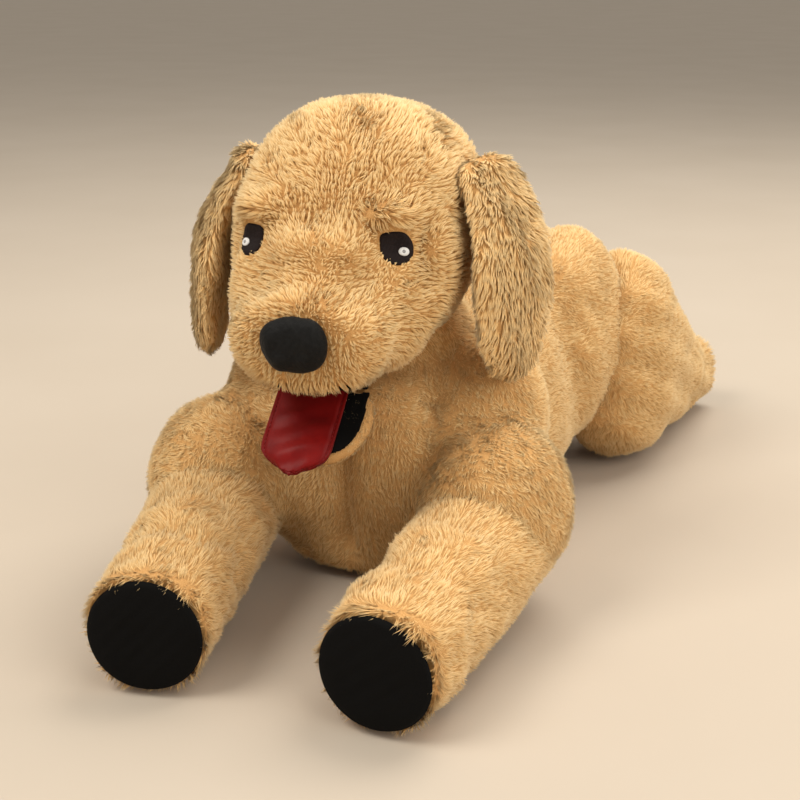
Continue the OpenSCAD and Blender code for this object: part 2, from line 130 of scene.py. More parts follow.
def soft_noise(points, wavelength, seed, parts=9):
    """A smooth field of three values, each mostly between -1 and 1."""
    rng = np.random.default_rng(seed)
    total = np.zeros((len(points), 3))
    for _ in range(parts):
        wave = rng.normal(size=3)
        wave *= 2 * math.pi / (wavelength * rng.uniform(0.6, 1.7) * np.linalg.norm(wave))
        total += np.sin(points @ wave + rng.uniform(0, 2 * math.pi))[:, None] * rng.normal(size=3)
    return total / math.sqrt(parts)


def add_object(name, mesh):
    obj = bpy.data.objects.new(name, mesh)
    bpy.context.collection.objects.link(obj)
    return obj


def add_mesh(name, vertices, faces):
    mesh = bpy.data.meshes.new(name)
    mesh.from_pydata([tuple(map(float, v)) for v in vertices], [], [tuple(map(int, f)) for f in faces])
    mesh.update()
    obj = add_object(name, mesh)
    smooth_shading(obj)
    return obj


def apply_modifiers(obj):
    bpy.context.view_layer.update()
    evaluated = obj.evaluated_get(bpy.context.evaluated_depsgraph_get())
    mesh = bpy.data.meshes.new_from_object(evaluated)
    old = obj.data
    obj.modifiers.clear()
    obj.data = mesh
    bpy.data.meshes.remove(old)


def normals_of(obj):
    n = np.empty(len(obj.data.vertices) * 3)
    obj.data.vertices.foreach_get("normal", n)
    return n.reshape(-1, 3)


def set_points(obj, points):
    obj.data.vertices.foreach_set("co", np.ascontiguousarray(points, float).ravel())
    obj.data.update()


def smooth_shading(obj):
    obj.data.polygons.foreach_set("use_smooth", [True] * len(obj.data.polygons))


def relax(obj, rounds):
    """Evens out a skin, more with more rounds."""
    smooth = obj.modifiers.new("smooth", "SMOOTH")
    smooth.factor = 0.5
    smooth.iterations = rounds
    apply_modifiers(obj)


def disc_points(rings, spokes, outline):
    """A middle point and rings of points round it; outline gives the reach at each angle."""
    flat = [(0.0, 0.0)]
    for i in range(1, rings + 1):
        for j in range(spokes):
            angle = 2 * math.pi * j / spokes
            r = outline(angle) * i / rings
            flat.append((r * math.cos(angle), r * math.sin(angle)))
    return np.array(flat)


def disc_faces(rings, spokes):
    """The faces of a disc of such points, of a second one behind it, and of the edge between them."""
    count = 1 + rings * spokes
    faces = [(0, 1 + j, 1 + (j + 1) % spokes) for j in range(spokes)]
    for i in range(rings - 1):
        for j in range(spokes):
            a, b = 1 + i * spokes + j, 1 + i * spokes + (j + 1) % spokes
            faces.append((a, a + spokes, b + spokes, b))
    for face in list(faces):
        faces.append(tuple(v + count for v in reversed(face)))
    last = count - spokes
    for j in range(spokes):
        a, b = last + j, last + (j + 1) % spokes
        faces.append((a, a + count, b + count, b))
    return faces


# ---------------------------------------------------------------- stuffed skins
def add_ball(bm, centre, radii):
    made = bmesh.ops.create_icosphere(bm, subdivisions=4, radius=1.0)
    for vertex in made["verts"]:
        vertex.co = Vector(centre) + Vector(radii) * vertex.co


def stuffed(name, nodes, voxel, rounds, balls=()):
    """One closed skin round some CAD nodes and some soft balls, smoothed where they meet."""
    bm = bmesh.new()
    for node in nodes:
        bm.from_mesh(frame["nodes"][node].data)
    for centre, radii in balls:
        add_ball(bm, centre, radii)
    mesh = bpy.data.meshes.new(name)
    bm.to_mesh(mesh)
    bm.free()
    obj = add_object(name, mesh)
    remesh = obj.modifiers.new("remesh", "REMESH")
    remesh.mode = "VOXEL"
    remesh.voxel_size = voxel
    apply_modifiers(obj)
    relax(obj, rounds)
    smooth_shading(obj)
    return obj


def puff(obj, held, cap, pressure=4.0):
    """Blows a skin up as cloth; held gives 1 where a seam or a neighbour holds it."""
    before = mesh_points(obj.data)
    hold = held(before)
    group = obj.vertex_groups.new(name="seams")
    for weight in (0.25, 0.5, 0.75, 1.0):
        chosen = np.nonzero(np.abs(hold - weight) <= 0.125)[0]
        group.add([int(i) for i in chosen], weight, "REPLACE")
    cloth = obj.modifiers.new("cloth", "CLOTH")
    cloth.settings.quality = 4
    cloth.settings.mass = 0.3
    cloth.settings.tension_stiffness = 12
    cloth.settings.compression_stiffness = 12
    cloth.settings.bending_stiffness = 2.0
    cloth.settings.use_pressure = True
    cloth.settings.uniform_pressure_force = pressure
    cloth.settings.effector_weights.gravity = 0
    cloth.settings.vertex_group_mass = "seams"
    cloth.collision_settings.use_collision = False
    cloth.collision_settings.use_self_collision = False
    for step in range(1, 21):
        bpy.context.scene.frame_set(step)
    apply_modifiers(obj)
    bpy.context.scene.frame_set(1)
    moved = mesh_points(obj.data) - before
    distance = np.linalg.norm(moved, axis=1, keepdims=True)
    set_points(obj, before + moved * np.minimum(1, cap / np.maximum(distance, 1e-9)))
    obj.vertex_groups.clear()


def shape(obj, amount, floor=0.003):
    """Moves the skin along its normals by amount(points), and keeps it above the floor."""
    points = mesh_points(obj.data)
    points = points + normals_of(obj) * amount(points)[:, None]
    points[:, 2] = np.maximum(points[:, 2], floor)
    set_points(obj, points)
    relax(obj, 2)
    smooth_shading(obj)


# ---------------------------------------------------------------- pile
TINTS = 24              # shades across the pile's colour map
FACES = 190000          # most faces in one piece of pile
SINK = 0.0012           # tufts start this far below the skin
GROUND = 0.0006         # no tuft reaches lower than this
CLUMP = 0.0045          # size of the small clumps of pile
LOCK = 0.010            # size of the larger locks


def scatter(obj, density, rng):
    """Random points on a mesh and their normals, density of them for each square metre."""
    mesh = obj.data
    mesh.calc_loop_triangles()
    corner = np.empty(len(mesh.loop_triangles) * 3, int)
    mesh.loop_triangles.foreach_get("vertices", corner)
    corner = corner.reshape(-1, 3)
    p = mesh_points(mesh)
    n = normals_of(obj)
    a, b, c = p[corner[:, 0]], p[corner[:, 1]], p[corner[:, 2]]
    area = np.linalg.norm(np.cross(b - a, c - a), axis=1) / 2
    count = int(area.sum() * density)
    face = rng.choice(len(area), size=count, p=area / area.sum())
    r1 = np.sqrt(rng.random(count))
    r2 = rng.random(count)
    w = np.stack([1 - r1, r1 * (1 - r2), r1 * r2], 1)
    points = (p[corner[face]] * w[:, :, None]).sum(1)
    normals = unit((n[corner[face]] * w[:, :, None]).sum(1))
    return points, normals


def lean_together(points, tips, cell, pull, rng):
    """Neighbouring tips gather into clumps. Also gives each clump a shade."""
    place = np.floor((points + rng.uniform(0, cell, 3)) / cell).astype(int)
    key = place @ np.array([73856093, 19349663, 83492791])
    _, group = np.unique(key, return_inverse=True)
    size = np.bincount(group)
    centre = np.stack([np.bincount(group, tips[:, k]) / size for k in range(3)], 1)
    return tips + pull * (centre[group] - tips), rng.random(len(size))[group]


def pile(obj, spec, seed):
    """The tufts of one skin: roots, normals, tips, lengths, widths and shades."""
    rng = np.random.default_rng(seed)
    points, normals = scatter(obj, spec["density"], rng)
    keep = rng.random(len(points)) < spec["cover"](points, normals)
    points, normals = points[keep], normals[keep]
    flow = unit(spec["flow"](points, normals)) + spec["swirl"] * soft_noise(points, 0.035, seed + 1)
    flow += 0.3 * soft_noise(points, 0.010, seed + 2) + 0.2 * rng.normal(size=points.shape)
    flow = unit(flow - normals * (flow * normals).sum(1, keepdims=True))
    length = spec["length"](points, normals) * rng.uniform(0.72, 1.18, len(points))
    lift = spec["lift"](points, normals) + 0.12 * rng.normal(size=len(points))
    lift = np.clip(lift + 0.15 * soft_noise(points, 0.012, seed + 3)[:, 0], 0.12, 1.3)
    width = spec["width"] * rng.uniform(0.75, 1.25, len(points))
    tips = points + length[:, None] * (flow * np.cos(lift)[:, None] + normals * np.sin(lift)[:, None])
    tips, small = lean_together(points, tips, CLUMP, spec["clumped"], rng)
    tips, large = lean_together(points, tips, LOCK, 0.18, rng)
    shade = 0.35 * small + 0.3 * large + 0.35 * rng.random(len(points))
    # raising darkest lifts a skin's tints; on the ears this is painted light against the shade they get
    shade = spec["darkest"] + (1 - spec["darkest"]) * shade
    return points, normals, tips, length, width, shade


def tuft_rings(points, normals, tips, length, width, bent):
    """The corners of each tuft: a three-sided root, a bend halfway if bent, and the tip."""
    straight = tips - points
    side = unit(np.cross(normals, straight))
    over = unit(np.cross(straight, side))
    root = points - normals * SINK
    levels = [(root, 1.0)]
    if bent:
        levels.append((root + straight * 0.5 + normals * (0.10 * length)[:, None], 0.8))
    corners = []
    for centre, scale in levels:
        for k in range(3):
            angle = 2 * math.pi * k / 3 + 0.5
            out = side * math.cos(angle) + over * math.sin(angle) * 0.6
            corners.append(centre + out * (width * 0.5 * scale)[:, None])
    return np.stack(corners + [tips], 1)


def tuft_mesh(name, bent, points, normals, tips, length, width, shade):
    """Closed, tapered tufts in one mesh, with a map for their colours."""
    count = len(points)
    vertices = tuft_rings(points, normals, tips, length, width, bent)
    each = vertices.shape[1]
    vertices[:, :, 2] = np.maximum(vertices[:, :, 2], GROUND)
    if bent:
        pattern = [0, 1, 4, 3, 1, 2, 5, 4, 2, 0, 3, 5, 3, 4, 6, 4, 5, 6, 5, 3, 6, 2, 1, 0]
        corners = [4, 4, 4, 3, 3, 3, 3]
        heights = np.array([0.03, 0.03, 0.03, 0.52, 0.52, 0.52, 0.97])
        turn = np.array([0.0, 0.5, 1.0, 0.0, 0.5, 1.0, 0.5])
    else:
        pattern = [0, 1, 3, 1, 2, 3, 2, 0, 3, 2, 1, 0]
        corners = [3, 3, 3, 3]
        heights = np.array([0.03, 0.03, 0.03, 0.97])
        turn = np.array([0.0, 0.5, 1.0, 0.5])
    loops = (np.arange(count)[:, None] * each + np.array(pattern)).ravel()
    sizes = np.tile(corners, count)
    mesh = bpy.data.meshes.new(name)
    mesh.vertices.add(count * each)
    mesh.vertices.foreach_set("co", vertices.ravel())
    mesh.loops.add(len(loops))
    mesh.loops.foreach_set("vertex_index", loops)
    mesh.polygons.add(len(sizes))
    mesh.polygons.foreach_set("loop_start", np.concatenate([[0], np.cumsum(sizes)[:-1]]))
    mesh.update(calc_edges=True)
    mesh.polygons.foreach_set("use_smooth", [True] * len(mesh.polygons))
    u = (np.floor(shade * TINTS)[:, None] + 0.15 + 0.7 * turn) / TINTS
    v = np.broadcast_to(heights, (count, each))
    layer = mesh.uv_layers.new(name="OFBake")
    layer.data.foreach_set("uv", np.stack([u, v], 2).reshape(-1, 2)[loops].ravel())
    # the pile is lit mostly as the skin under it is, which keeps it soft
    own = np.empty(count * each * 3)
    mesh.vertices.foreach_get("normal", own)
    mixed = unit(own.reshape(-1, each, 3) * 0.4 + normals[:, None] * 0.8)
    mesh.normals_split_custom_set_from_vertices(mixed.reshape(-1, 3))
    mesh.materials.append(PILE)
    return add_object(name, mesh)


def grow(obj, name, spec, seed):
    """Covers a skin with pile, in pieces of a workable size."""
    tufts = pile(obj, spec, seed)
    count = len(tufts[0])
    order = np.argsort(tufts[0] @ np.array([0.31, 1.0, 0.17]))
    faces = 10 if spec["bent"] else 4
    parts = math.ceil(count * faces / FACES)
    made = []
    for k in range(parts):
        chosen = order[k * count // parts:(k + 1) * count // parts]
        made.append(tuft_mesh(f"{name}_{k + 1}", spec["bent"], *(column[chosen] for column in tufts)))
    return made


# ---------------------------------------------------------------- materials
def shader(name):
    material = bpy.data.materials.new(name)
    material.use_nodes = True
    tree = material.node_tree
    return material, tree, tree.nodes["Principled BSDF"]


def ramp(tree, stops):
    node = tree.nodes.new("ShaderNodeValToRGB")
    elements = node.color_ramp.elements
    elements[0].position, elements[0].color = stops[0][0], (*stops[0][1], 1)
    elements[1].position, elements[1].color = stops[-1][0], (*stops[-1][1], 1)
    for position, colour in stops[1:-1]:
        element = elements.new(position)
        element.color = (*colour, 1)
    return node


def pile_material():
    """Each tuft runs from a root darkened with painted shade, as falls down between the tufts, to a pale
    tip, in a tint of its own.
    """
    material, tree, bsdf = shader("plush_pile")
    link = tree.links.new
    uv = tree.nodes.new("ShaderNodeUVMap")
    uv.uv_map = "OFBake"
    split = tree.nodes.new("ShaderNodeSeparateXYZ")
    link(uv.outputs["UV"], split.inputs[0])
    # darker towards the root: painted shade, standing in for the shade down between the tufts
    along = ramp(tree, [(0.0, (0.42, 0.17, 0.045)), (0.42, (0.84, 0.52, 0.21)), (1.0, (0.99, 0.76, 0.42))])
    link(split.outputs["Y"], along.inputs["Fac"])
    across = ramp(tree, [(0.0, (0.74, 0.67, 0.56)), (0.5, (0.94, 0.92, 0.88)), (1.0, (1.0, 1.0, 1.0))])
    link(split.outputs["X"], across.inputs["Fac"])
    mix = tree.nodes.new("ShaderNodeMix")
    mix.data_type = "RGBA"
    mix.blend_type = "MULTIPLY"
    mix.inputs["Factor"].default_value = 1.0
    link(along.outputs["Color"], mix.inputs["A"])
    link(across.outputs["Color"], mix.inputs["B"])
    link(mix.outputs["Result"], bsdf.inputs["Base Color"])
    bsdf.inputs["Roughness"].default_value = 0.8
    bsdf.inputs["Specular IOR Level"].default_value = 0.2
    bsdf.inputs["Sheen Weight"].default_value = 0.3
    bsdf.inputs["Sheen Roughness"].default_value = 0.5
    bsdf.inputs["Sheen Tint"].default_value = (1.0, 0.85, 0.6, 1)
    return material


def cloth_material(name, light, dark, scale, bump, roughness, sheen, tint, distance=0.0006):
    """Matt fabric: mottled colour, and its nap in the bump."""
    material, tree, bsdf = shader(name)
    link = tree.links.new
    place = tree.nodes.new("ShaderNodeTexCoord")
    nap = tree.nodes.new("ShaderNodeTexNoise")
    nap.inputs["Scale"].default_value = scale
    nap.inputs["Detail"].default_value = 6
    link(place.outputs["Object"], nap.inputs["Vector"])
    colour = ramp(tree, [(0.3, dark), (0.7, light)])
    link(nap.outputs["Fac"], colour.inputs["Fac"])
    link(colour.outputs["Color"], bsdf.inputs["Base Color"])
    relief = tree.nodes.new("ShaderNodeBump")
    relief.inputs["Strength"].default_value = bump
    relief.inputs["Distance"].default_value = distance
    link(nap.outputs["Fac"], relief.inputs["Height"])
    link(relief.outputs["Normal"], bsdf.inputs["Normal"])
    bsdf.inputs["Roughness"].default_value = roughness
    bsdf.inputs["Specular IOR Level"].default_value = 0.12
    bsdf.inputs["Sheen Weight"].default_value = sheen
    bsdf.inputs["Sheen Tint"].default_value = (*tint, 1)
    return material


PILE = pile_material()
# the backing's deep orange-brown matches the pile's roots: painted shade for the dark seen between the
# tufts
BACKING = cloth_material("plush_backing", (0.66, 0.38, 0.15), (0.52, 0.27, 0.09), 900, 0.4, 0.9, 0.1,
                         (1.0, 0.8, 0.5))
BLACK_NAP = cloth_material("black_velveteen", (0.0034, 0.0031, 0.0028), (0.0018, 0.0016, 0.0015), 1400, 0.5,
                           0.9, 0.0, (0.6, 0.6, 0.6))
NOSE_NAP = cloth_material("black_nose_plush", (0.0085, 0.0082, 0.0080), (0.0040, 0.0038, 0.0036), 300, 0.7,
                          0.62, 0.05, (0.7, 0.7, 0.7), 0.0012)
SATIN = cloth_material("red_satin", (0.20, 0.005, 0.004), (0.14, 0.003, 0.003), 60, 0.35, 0.42, 0.12,
                       (1.0, 0.35, 0.3), 0.002)
THREAD = cloth_material("dark_thread", (0.016, 0.009, 0.008), (0.009, 0.005, 0.005), 700, 0.4, 0.55, 0.1,
                        (0.6, 0.5, 0.5))
WHITE_THREAD = cloth_material("white_thread", (0.86, 0.86, 0.85), (0.68, 0.68, 0.68), 900, 0.4, 0.5, 0.1,
                              (1.0, 1.0, 1.0))
GREY_THREAD = cloth_material("grey_thread", (0.36, 0.36, 0.36), (0.26, 0.26, 0.27), 900, 0.4, 0.5, 0.1,
                             (1.0, 1.0, 1.0))
SEAM_THREAD = cloth_material("red_thread", (0.20, 0.006, 0.006), (0.14, 0.004, 0.004), 900, 0.4, 0.6, 0.1,
                             (1.0, 0.4, 0.4))


def dress(obj, material, slot, body, *nodes):
    """Gives a piece its material and its body, and hides the CAD nodes it stands for."""
    obj.data.materials.clear()
    obj.data.materials.append(material)
    if nodes:
        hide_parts(*nodes)
    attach(obj, body)


# ---------------------------------------------------------------- how the pile lies
SHORT = 0.0068          # pile of the body and the legs
MEDIUM = 0.0085         # pile of the head
LONG = 0.012            # pile of the ears and the tail


def even(value):
    """The same value everywhere on a skin."""
    return lambda p, n: np.full(len(p), float(value))


def toward(*direction):
    """The same direction everywhere on a skin."""
    return lambda p, n: np.tile(np.array(direction, float), (len(p), 1))


def everywhere(p, n):
    return np.ones(len(p))


def plush(flow, length=even(SHORT), lift=even(0.5), density=330000, cover=everywhere, swirl=0.4,
          width=0.00135, bent=False, clumped=0.45, darkest=0.0):
    """How one skin's pile lies: functions of points and normals, and plain numbers."""
    return {
        "flow": flow,
        "length": length,
        "lift": lift,
        "density": density,
        "cover": cover,
        "swirl": swirl,
        "width": width,
        "bent": bent,
        "clumped": clumped,
        "darkest": darkest,
    }


def cover_skin(skin, body, nodes, spec, seed):
    """Dresses a skin in backing cloth, and grows its pile on it."""
    dress(skin, BACKING, "plush", body, *nodes)
    for piece in grow(skin, skin.name.replace("_skin", "_pile"), spec, seed):
        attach(piece, body)


INSET = 0.0035          # the skins lie this far inside the CAD's outer face, to leave room for the pile


# ---------------------------------------------------------------- torso
def build_torso():
    """The trunk, filled out at the neck, chest, shoulders and rump, and drawn in along its seams."""
    balls = [
        (NECK + (0, 0.004, -0.004), (0.086, 0.078, 0.040)),
        ((NECK[0], NECK[1] - 0.054, 0.145), (0.086, 0.036, 0.062)),
        ((NECK[0], NECK[1] - 0.020, 0.114), (0.168, 0.076, 0.103)),
    ]
    for side, sign in SIDES.items():
        shoulder = joint_place(f"foreleg_{side}_lift")
        balls.append((shoulder + (0, 0.004, 0.020), (0.070, 0.078, 0.074)))
        balls.append((shoulder + (-0.036 * sign, 0.068, 0.078), (0.064, 0.058, 0.074)))
        balls.append((joint_place(f"hind_leg_{side}_lift") * (0.60, 1, 1) + (0, -0.07, 0.064),
                      (0.066, 0.115, 0.116)))
    skin = stuffed("torso_skin", ("torso_left", "torso_right", "torso_stuffing"), 0.006, 20, balls)
    chest = NECK[0]
    creases = [
        ((chest, -0.235, 0.19), (chest, -0.245, 0.04)),
        ((chest + 0.075, -0.20, 0.20), (chest + 0.072, -0.225, 0.09)),
        ((chest - 0.075, -0.20, 0.20), (chest - 0.072, -0.225, 0.09)),
        ((chest, -0.02, 0.275), (0.0, 0.30, 0.20)),
    ]

    def held(p):
        seams = sum(along_line(p, a, b, 0.008) for a, b in creases)
        return np.clip(seams + smoothstep(0.012, 0.004, p[:, 2]), 0, 1)

    puff(skin, held, 0.007)

    def amount(p):
        moved = -INSET - 0.012 * chest_seam(p)
        for a, b in creases[1:3]:
            moved -= 0.009 * along_line(p, a, b, 0.009)
        moved -= 0.0025 * along_line(p, *creases[3], 0.008)
        for side in SIDES.values():
            for k in range(3):
                start = (side * 0.118, 0.085 - 0.03 * k, 0.205 - 0.01 * k)
                end = (side * 0.105, 0.125 - 0.02 * k, 0.120)
                moved -= 0.005 * along_line(p, start, end, 0.010)
        return moved + 0.0022 * soft_noise(p, 0.09, 5)[:, 0]

    shape(skin, amount)
    return skin


def chest_seam(p):
    """1 along the upright seam down the middle of the chest."""
    line = np.exp(-((p[:, 0] - NECK[0]) / 0.008) ** 2)
    return line * smoothstep(-0.16, -0.20, p[:, 1]) * smoothstep(0.02, 0.05, p[:, 2])


def torso_flow(p, n):
    """Back along the trunk, and down and outward over the chest."""
    back = np.tile([0.0, 1.0, -0.3], (len(p), 1))
    chest = np.stack([0.5 * np.sign(p[:, 0] - NECK[0]), np.zeros(len(p)), -np.ones(len(p))], 1)
    f = smoothstep(-0.12, -0.18, p[:, 1])[:, None]
    return back * (1 - f) + chest * f


def torso_length(p, n):
    """A little longer where the legs join the body."""
    length = SHORT - 0.003 * chest_seam(p)
    for side in SIDES:
        place = joint_place(f"foreleg_{side}_lift")
        length += 0.003 * bell(p, place + (0, 0, 0.05), (0.05, 0.05, 0.03))
    return length


cover_skin(build_torso(), "torso",
           ("torso_left", "torso_right", "torso_stuffing", "belly_panel", "neck_seam"),
           plush(torso_flow, length=torso_length), 11)


# ---------------------------------------------------------------- head
def build_head():
    """The skull, cheeks and muzzle in one skin, with sunken eyes and brows over them."""
    balls = []
    for side in SIDES.values():
        balls.append((in_head(side * 0.046, 0.262, 0.098), (0.040, 0.042, 0.044)))
        balls.append((in_head(side * 0.040, 0.343, 0.098), (0.032, 0.026, 0.026)))
    balls.append((in_head(0, 0.285, 0.135), (0.040, 0.030, 0.034)))
    balls.append((in_head(0, 0.316, 0.128), (0.044, 0.026, 0.026)))
    skin = stuffed("head_skin", ("head_left", "head_right", "muzzle", "head_stuffing"), 0.005, 9, balls)
    seam = (in_head(0, 0.44, 0.03), in_head(0, 0.345, 0.115))

    def held(p):
        hold = 0.7 * along_line(p, *seam, 0.007)
        for place, radius in ((EYES["left"], 0.018), (EYES["right"], 0.018), (NOSE, 0.030)):
            hold = hold + 1.2 * bell(p, place, radius)
        return np.clip(hold + smoothstep(0.250, 0.244, p[:, 2]) * (head_axes(p)[2] < 0.09), 0, 1)

    puff(skin, held, 0.005)

    def amount(p):
        moved = np.full(len(p), -INSET)
        for side, sign in SIDES.items():
            eye = EYES[side]
            outer = eye + sign * 0.021 * HEAD_LEFT - 0.012 * HEAD_FRONT
            brow = eye + 0.025 * UP - 0.004 * HEAD_FRONT
            moved -= 0.005 * bell(p, eye, 0.016)
            moved -= 0.008 * along_line(p, outer + 0.014 * UP, outer - 0.030 * UP, 0.008)
            brow_in, brow_out = brow - sign * 0.016 * HEAD_LEFT, brow + sign * 0.020 * HEAD_LEFT
            moved += 0.009 * along_line(p, brow_in, brow_out, 0.010)
        moved += 0.004 * along_line(p, in_head(-0.020, 0.292, 0.172), in_head(0.020, 0.292, 0.172), 0.009)
        return moved + 0.0015 * soft_noise(p, 0.06, 6)[:, 0]

    shape(skin, amount)
    return skin


def head_flow(p, n):
    """Away from the nose, over the crown and back along the cheeks; out sideways over the eyes."""
    flow = unit(p - in_head(0, 0.262, 0.190))
    u = head_axes(p)[0]
    for side, sign in SIDES.items():
        brow = bell(p, EYES[side] + 0.024 * UP, 0.018)[:, None]
        flow = flow * (1 - brow) + brow * (sign * 0.9 * HEAD_LEFT - 0.45 * UP)
    lips = smoothstep(0.240, 0.218, p[:, 2])[:, None]
    return flow + np.sign(u)[:, None] * HEAD_LEFT * 0.25 - lips * UP


def head_length(p, n):
    """Longer at the brows, on the bridge of the nose and at the lips, shorter round the eyes."""
    v, t = head_axes(p)[1:]
    length = MEDIUM - 0.0018 * smoothstep(0.11, 0.14, t)
    for side in SIDES:
        length += 0.0070 * bell(p, EYES[side] + 0.027 * UP, (0.022, 0.020, 0.009))
        length -= 0.0055 * bell(p, EYES[side] - 0.003 * UP, 0.019)
    length += 0.004 * bell(p, in_head(0, 0.290, 0.175), (0.028, 0.02, 0.008))
    length += 0.003 * smoothstep(0.232, 0.218, v) * (t > 0.10)
    return np.maximum(length, 0.0022)


def head_lift(p, n):
    """Upright, most of all on the bridge of the nose."""
    face = smoothstep(0.02, 0.07, head_axes(p)[2])
    return 0.72 + 0.16 * face + 0.3 * bell(p, in_head(0, 0.292, 0.175), (0.03, 0.02, 0.012))


def head_cover(p, n):
    """No pile on the eyes, under the nose or inside the mouth."""
    chance = np.ones(len(p))
    for side, sign in SIDES.items():
        corner = EYES[side] + 0.0055 * (0.61 * UP - 0.79 * sign * HEAD_LEFT)
        near = along_line(p, EYES[side], corner, 0.0140)
        chance *= smoothstep(0.42, 0.26, near)
    u, v, t = head_axes(p)
    nose = ((u / 0.0245) ** 2 + ((v - NOSE[2]) / 0.020) ** 2 < 1) & (t > 0.165)
    mouth = (n[:, 2] < -0.75) & (np.abs(u) < 0.036) & (t > 0.095) & (t < 0.165) & (v < 0.222)
    return chance * ~nose * ~mouth


head = build_head()
cover_skin(head, "head", ("head_left", "head_right", "head_stuffing", "muzzle"),
           plush(head_flow, length=head_length, lift=head_lift, density=400000, cover=head_cover,
                 swirl=0.55, width=0.0014, bent=True, clumped=0.62), 21)


# ---------------------------------------------------------------- ears
def build_ear(side, sign):
    """A hanging ear, thickened on its inner side, with long pile that parts down its middle."""
    nodes = (f"ear_{side}", f"ear_{side}_lining", f"ear_{side}_batting")
    cheek = sign * HEAD_LEFT
    skin = stuffed(f"ear_{side}_skin", nodes, 0.004, 5)
    inner = smoothstep(0.1, -0.6, normals_of(skin) @ cheek)
    shape(skin, lambda p: 0.002 * soft_noise(p, 0.05, 7 + sign)[:, 0] - 0.001 + 0.005 * inner)
    root = joint_place(f"ear_{side}_swing")
    front = joint_axis(f"ear_{side}_swing") * sign

    def flow(p, n):
        across = (p - root) @ front
        return -UP + 0.55 * np.tanh(across / 0.012)[:, None] * front

    def length(p, n):
        return np.where(n @ cheek > -0.2, LONG, 0.8 * LONG)

    # the ear pile keeps only the paler tints (darkest 0.5): painted light, making up for the shade on the
    # hanging ears
    cover_skin(skin, f"ear_{side}", nodes,
               plush(flow, length=length, lift=even(0.30), swirl=0.3, width=0.0016, bent=True, clumped=0.6,
                     darkest=0.5), 31 + sign)


for side, sign in SIDES.items():
    build_ear(side, sign)


# ---------------------------------------------------------------- legs
def build_leg(kind, side, sign, forward):
    """forward is +1 for a leg whose sole faces the front of the dog, -1 for one that faces back."""
    name = f"{kind}_{side}"
    nodes = (name, name + "_stuffing")
    pad = name + "_pad"
    sole = middle(pad)
    low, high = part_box(pad)
    radius = (high[2] - low[2]) / 2
    facing = np.array([0.0, 1.0, 0.0])
    if forward > 0:
        facing = unit(((sole - joint_place(f"{name}_lift")) * (1, 1, 0))[None])[0]
    skin = stuffed(name + "_skin", nodes, 0.005, 7)

    def held(p):
        end = smoothstep(0.012, 0.004, -((p - sole) @ facing))
        return np.clip(end + smoothstep(0.012, 0.004, p[:, 2]), 0, 1)

    puff(skin, held, 0.005)

    def amount(p):
        behind = (p - sole) @ facing
        depth = 0.0020 if forward > 0 else 0.0012
        wrinkle = depth * np.sin(behind / 0.011 + 2 * soft_noise(p, 0.05, 9)[:, 0])
        wrinkle *= smoothstep(-0.16, -0.10, behind)
        wrinkle *= smoothstep(-0.02, -0.05, behind)
        return wrinkle - INSET + 0.0018 * soft_noise(p, 0.07, 8 + sign)[:, 0]

    shape(skin, amount)

    def from_rim(p):
        """Distance behind the sole, and distance from the pad's middle across it."""
        d = p - sole
        behind = -(d @ facing)
        across = np.linalg.norm(d + behind[:, None] * facing, axis=1)
        return behind, across

    def flow(p, n):
        rim = smoothstep(0.03, 0.0, from_rim(p)[0])[:, None]
        return facing * (1.9 * rim - 0.9 * forward) - UP * 0.35 * (1 - rim) + rim * 0.6 * n

    def length(p, n):
        rim = smoothstep(0.028, 0.004, from_rim(p)[0])
        high_side = smoothstep(-0.2, 0.8, (p - sole)[:, 2] / radius)
        return SHORT + 0.0010 + rim * (0.0035 + 0.0045 * high_side)

    def cover(p, n):
        behind, across = from_rim(p)
        return ~((behind < 0.012) & (across < radius - 0.0005))

    cover_skin(skin, name, nodes, plush(flow, length=length, cover=cover), 41 + sign + 10 * forward)
    build_pad(pad, name, sole, facing, radius)


def build_pad(name, body, sole, facing, radius):
    """A round pad, a little domed, with its edge turned in and soft wrinkles across it."""
    side = np.cross(UP, facing)
    rings, spokes = 26, 72
    flat = disc_points(rings, spokes, lambda angle: radius)
    r = np.hypot(flat[:, 0], flat[:, 1]) / radius
    place = sole + flat[:, :1] * side + flat[:, 1:] * UP
    wrinkles = 0.0007 * soft_noise(place, 0.030, 12)[:, 0] + 0.0003 * soft_noise(place, 0.011, 13)[:, 0]
    rise = 0.0045 * (1 - r ** 4) + wrinkles * (1 - r ** 6) - 0.003 * smoothstep(0.95, 1.0, r)
    front = place + rise[:, None] * facing
    back = place - 0.003 * facing
    faces = disc_faces(rings, spokes)
    pad = add_mesh(name + "_cloth", np.concatenate([front, back]), faces)
    dress(pad, BLACK_NAP, "sole_fabric", body, name)


for side, sign in SIDES.items():
    build_leg("foreleg", side, sign, 1)
    build_leg("hind_leg", side, sign, -1)


# ---------------------------------------------------------------- tail
tail = stuffed("tail_skin", ("tail", "tail_stuffing"), 0.004, 5)
shape(tail, lambda p: 0.002 * soft_noise(p, 0.04, 14)[:, 0] - INSET)
cover_skin(tail, "tail", ("tail", "tail_stuffing"),
           plush(toward(0, 1, -0.4), length=even(LONG)), 61)


# ---------------------------------------------------------------- nose and mouth
def narrow(obj, share):
    """Draws a lining in from its sides, so that it stays behind the lips."""
    points = mesh_points(obj.data)
    u = head_axes(points)[0]
    set_points(obj, points - ((1 - share) * u)[:, None] * HEAD_LEFT + 0.004 * UP)


nose = stuffed("nose_cloth", ("nose",), 0.002, 8)
NOSTRILS = [NOSE + sign * 0.012 * HEAD_LEFT + 0.007 * HEAD_FRONT - 0.003 * UP for sign in SIDES.values()]


def nose_relief(p):
    dents = sum(bell(p, nostril, 0.005) for nostril in NOSTRILS)
    return 0.0011 * soft_noise(p, 0.022, 15)[:, 0] - 0.0016 * dents


shape(nose, nose_relief)
dress(nose, NOSE_NAP, "nose_fabric", "head", "nose")

